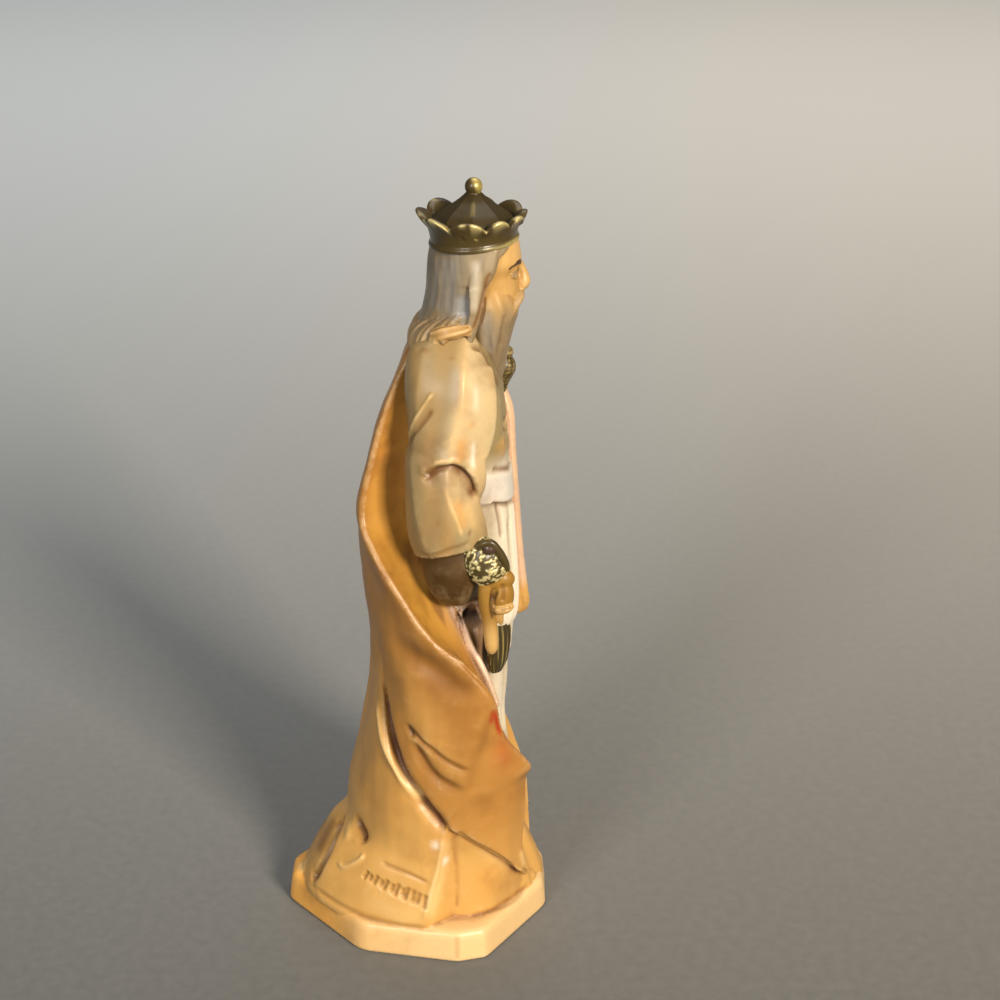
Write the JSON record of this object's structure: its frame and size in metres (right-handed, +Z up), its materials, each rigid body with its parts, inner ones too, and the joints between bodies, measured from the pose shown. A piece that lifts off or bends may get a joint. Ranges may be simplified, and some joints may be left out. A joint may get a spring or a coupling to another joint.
{
  "type": "nativity wise man figurine",
  "caption": "Standing crowned wise man of a nativity set, moulded with its low faceted plinth: long cloak, wide sleeve, fringed sash and a lidded jar.",
  "frame": {"origin": "middle of the plinth's flat underside, on the surface that it stands on", "axes": "+Z up, -Y the way the figure faces, -X its right-hand side"},
  "size_m": [0.042, 0.0434, 0.125],
  "materials": {
    "painted_plastic": "hand-painted ochre, cream, white, olive-bronze and gold, rubbed, with a soft sheen"
  },
  "bodies": {
    "root": {"wise_man_figurine": "painted_plastic"}
  },
  "joints": []
}
